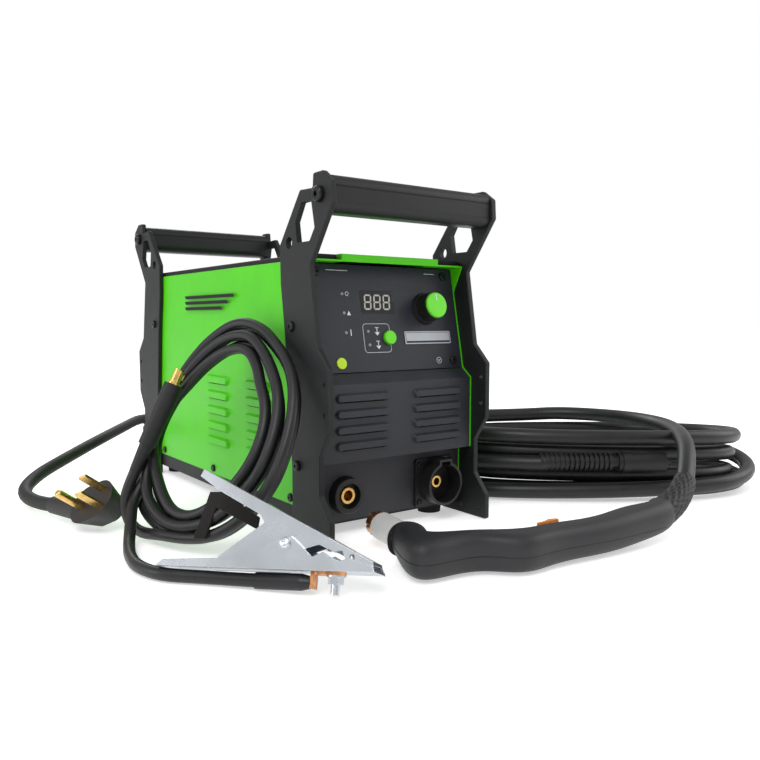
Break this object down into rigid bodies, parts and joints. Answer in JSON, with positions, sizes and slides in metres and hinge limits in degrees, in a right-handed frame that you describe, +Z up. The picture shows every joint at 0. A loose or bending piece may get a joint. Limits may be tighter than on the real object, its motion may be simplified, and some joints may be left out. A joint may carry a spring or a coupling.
{
  "type": "inverter plasma cutter",
  "caption": "Portable inverter plasma cutter with carry handles, torch and coiled lead, earth clamp and coiled lead, and a mains cord with plug.",
  "frame": {"origin": "on the surface the unit stands on, under the middle of the case and its frame plates", "axes": "+X to the right seen from the operator's side, +Y from the control panel to the rear, +Z up"},
  "size_m": [0.7228, 0.86, 0.302],
  "materials": {
    "black_sheet": "satin black powder coat",
    "rubber": "matt moulded rubber",
    "frame_black": "fine textured black powder coat",
    "handle_black": "satin black coated extrusion",
    "black_screw": "blackened steel",
    "green_paint": "bright green powder coat",
    "rail_black": "matt black strip",
    "panel_overlay": "dark blue-grey overlay",
    "panel_grey": "dark grey powder coat",
    "display": "smoked display window",
    "green_button": "bright green plastic",
    "knob_black": "black ribbed plastic",
    "lamp": "translucent lamp lens",
    "socket_plastic": "black moulded plastic",
    "brass": "machined brass",
    "bare_alloy": "bare alloy",
    "circuit_board": "solder mask and parts",
    "air_hose": "blue polyurethane hose",
    "cord_rubber": "matt cord jacket",
    "plug_plastic": "dark moulded plastic",
    "cable_rubber": "cable jacket with a soft sheen",
    "boot_rubber": "moulded rubber boot",
    "strap_fabric": "woven tie strap",
    "zinc_steel": "bright zinc plated steel",
    "copper": "bare copper",
    "torch_grip": "soft-touch charcoal grip",
    "orange_plastic": "orange plastic",
    "cup_grey": "light grey ceramic cup"
  },
  "bodies": {
    "unit": {"base_tray": "black_sheet", "rubber_feet": "rubber", "frame_plate_front_left": "frame_black", "frame_plate_front_right": "frame_black", "frame_plate_rear_left": "frame_black", "frame_plate_rear_right": "frame_black", "handle_bar_front": "handle_black", "handle_bar_rear": "handle_black", "frame_bolts": "black_screw", "cover_shell": "green_paint", "top_rails": "rail_black", "control_panel": "panel_overlay", "front_panel": "panel_grey", "panel_screws": "black_screw", "display_window": "display", "indicator_lights": "lamp", "work_socket_body": "socket_plastic", "work_socket_contact": "brass", "torch_socket_housing": "socket_plastic", "torch_socket_contact": "brass", "rear_panel": "panel_grey", "fan_frame": "socket_plastic", "cord_gland": "socket_plastic", "air_regulator": "bare_alloy", "heat_sink": "bare_alloy", "inverter_board": "circuit_board", "transformer": "circuit_board", "solenoid_valve": "bare_alloy", "air_hose": "air_hose", "control_board": "circuit_board", "power_cord": "cord_rubber", "power_cord_tail": "cord_rubber", "power_cord_coil": "cord_rubber", "plug_body": "plug_plastic", "plug_blades": "brass", "ground_cable": "cable_rubber", "ground_cable_coil": "cable_rubber", "work_plug_body": "boot_rubber", "work_plug_pin": "brass", "cable_strap": "strap_fabric", "clamp_lower_arm": "zinc_steel", "clamp_pivot_pin": "zinc_steel", "clamp_spring": "zinc_steel", "clamp_bolt": "zinc_steel", "cable_lug": "copper", "torch_body": "torch_grip", "torch_cup": "cup_grey", "torch_tip": "copper", "torch_strain_relief": "boot_rubber", "torch_cable": "cable_rubber", "torch_cable_coil": "cable_rubber", "torch_connector": "boot_rubber"},
    "current_dial": {"current_knob": "knob_black", "knob_cap": "green_button"},
    "mode_key": {"mode_button": "green_button"},
    "mains_switch": {"power_switch_knob": "socket_plastic"},
    "fan_wheel": {"fan_rotor": "socket_plastic"},
    "pressure_knob": {"regulator_knob": "socket_plastic"},
    "trigger": {"torch_trigger": "orange_plastic"},
    "clamp_jaw": {"clamp_upper_arm": "zinc_steel"}
  },
  "joints": [
    {"name": "current_dial_turn", "type": "hinge", "parent": "unit", "child": "current_dial", "pos_m": [0.044, -0.1815, 0.1955], "axis": [0, -0.9806, 0.1961], "continuous": true},
    {"name": "mode_key_press", "type": "slide", "parent": "unit", "child": "mode_key", "axis": [0, 0.9806, -0.1961], "range_m": [0, 0.0015], "stiffness_N_per_m": 500},
    {"name": "mains_switch_turn", "type": "hinge", "parent": "unit", "child": "mains_switch", "pos_m": [0.055, 0.1875, 0.062], "axis": [0, 1, 0], "range_deg": [0, 90]},
    {"name": "fan_spin", "type": "hinge", "parent": "unit", "child": "fan_wheel", "pos_m": [0, 0.1715, 0.15], "axis": [0, 1, 0], "continuous": true},
    {"name": "pressure_knob_turn", "type": "hinge", "parent": "unit", "child": "pressure_knob", "pos_m": [-0.05, 0.1995, 0.095], "axis": [0, 0, 1], "continuous": true},
    {"name": "trigger_pull", "type": "hinge", "parent": "unit", "child": "trigger", "pos_m": [0.00699, -0.33506, 0.017], "axis": [0, 0, 1], "range_deg": [-6, 0], "stiffness_Nm_per_rad": 0.3},
    {"name": "clamp_open", "type": "hinge", "parent": "unit", "child": "clamp_jaw", "pos_m": [-0.15133, -0.27616, 0.0293], "axis": [-0.7402, -0.5351, 0.4071], "range_deg": [0, 14], "stiffness_Nm_per_rad": 3, "springref_deg": -5.73}
  ]
}
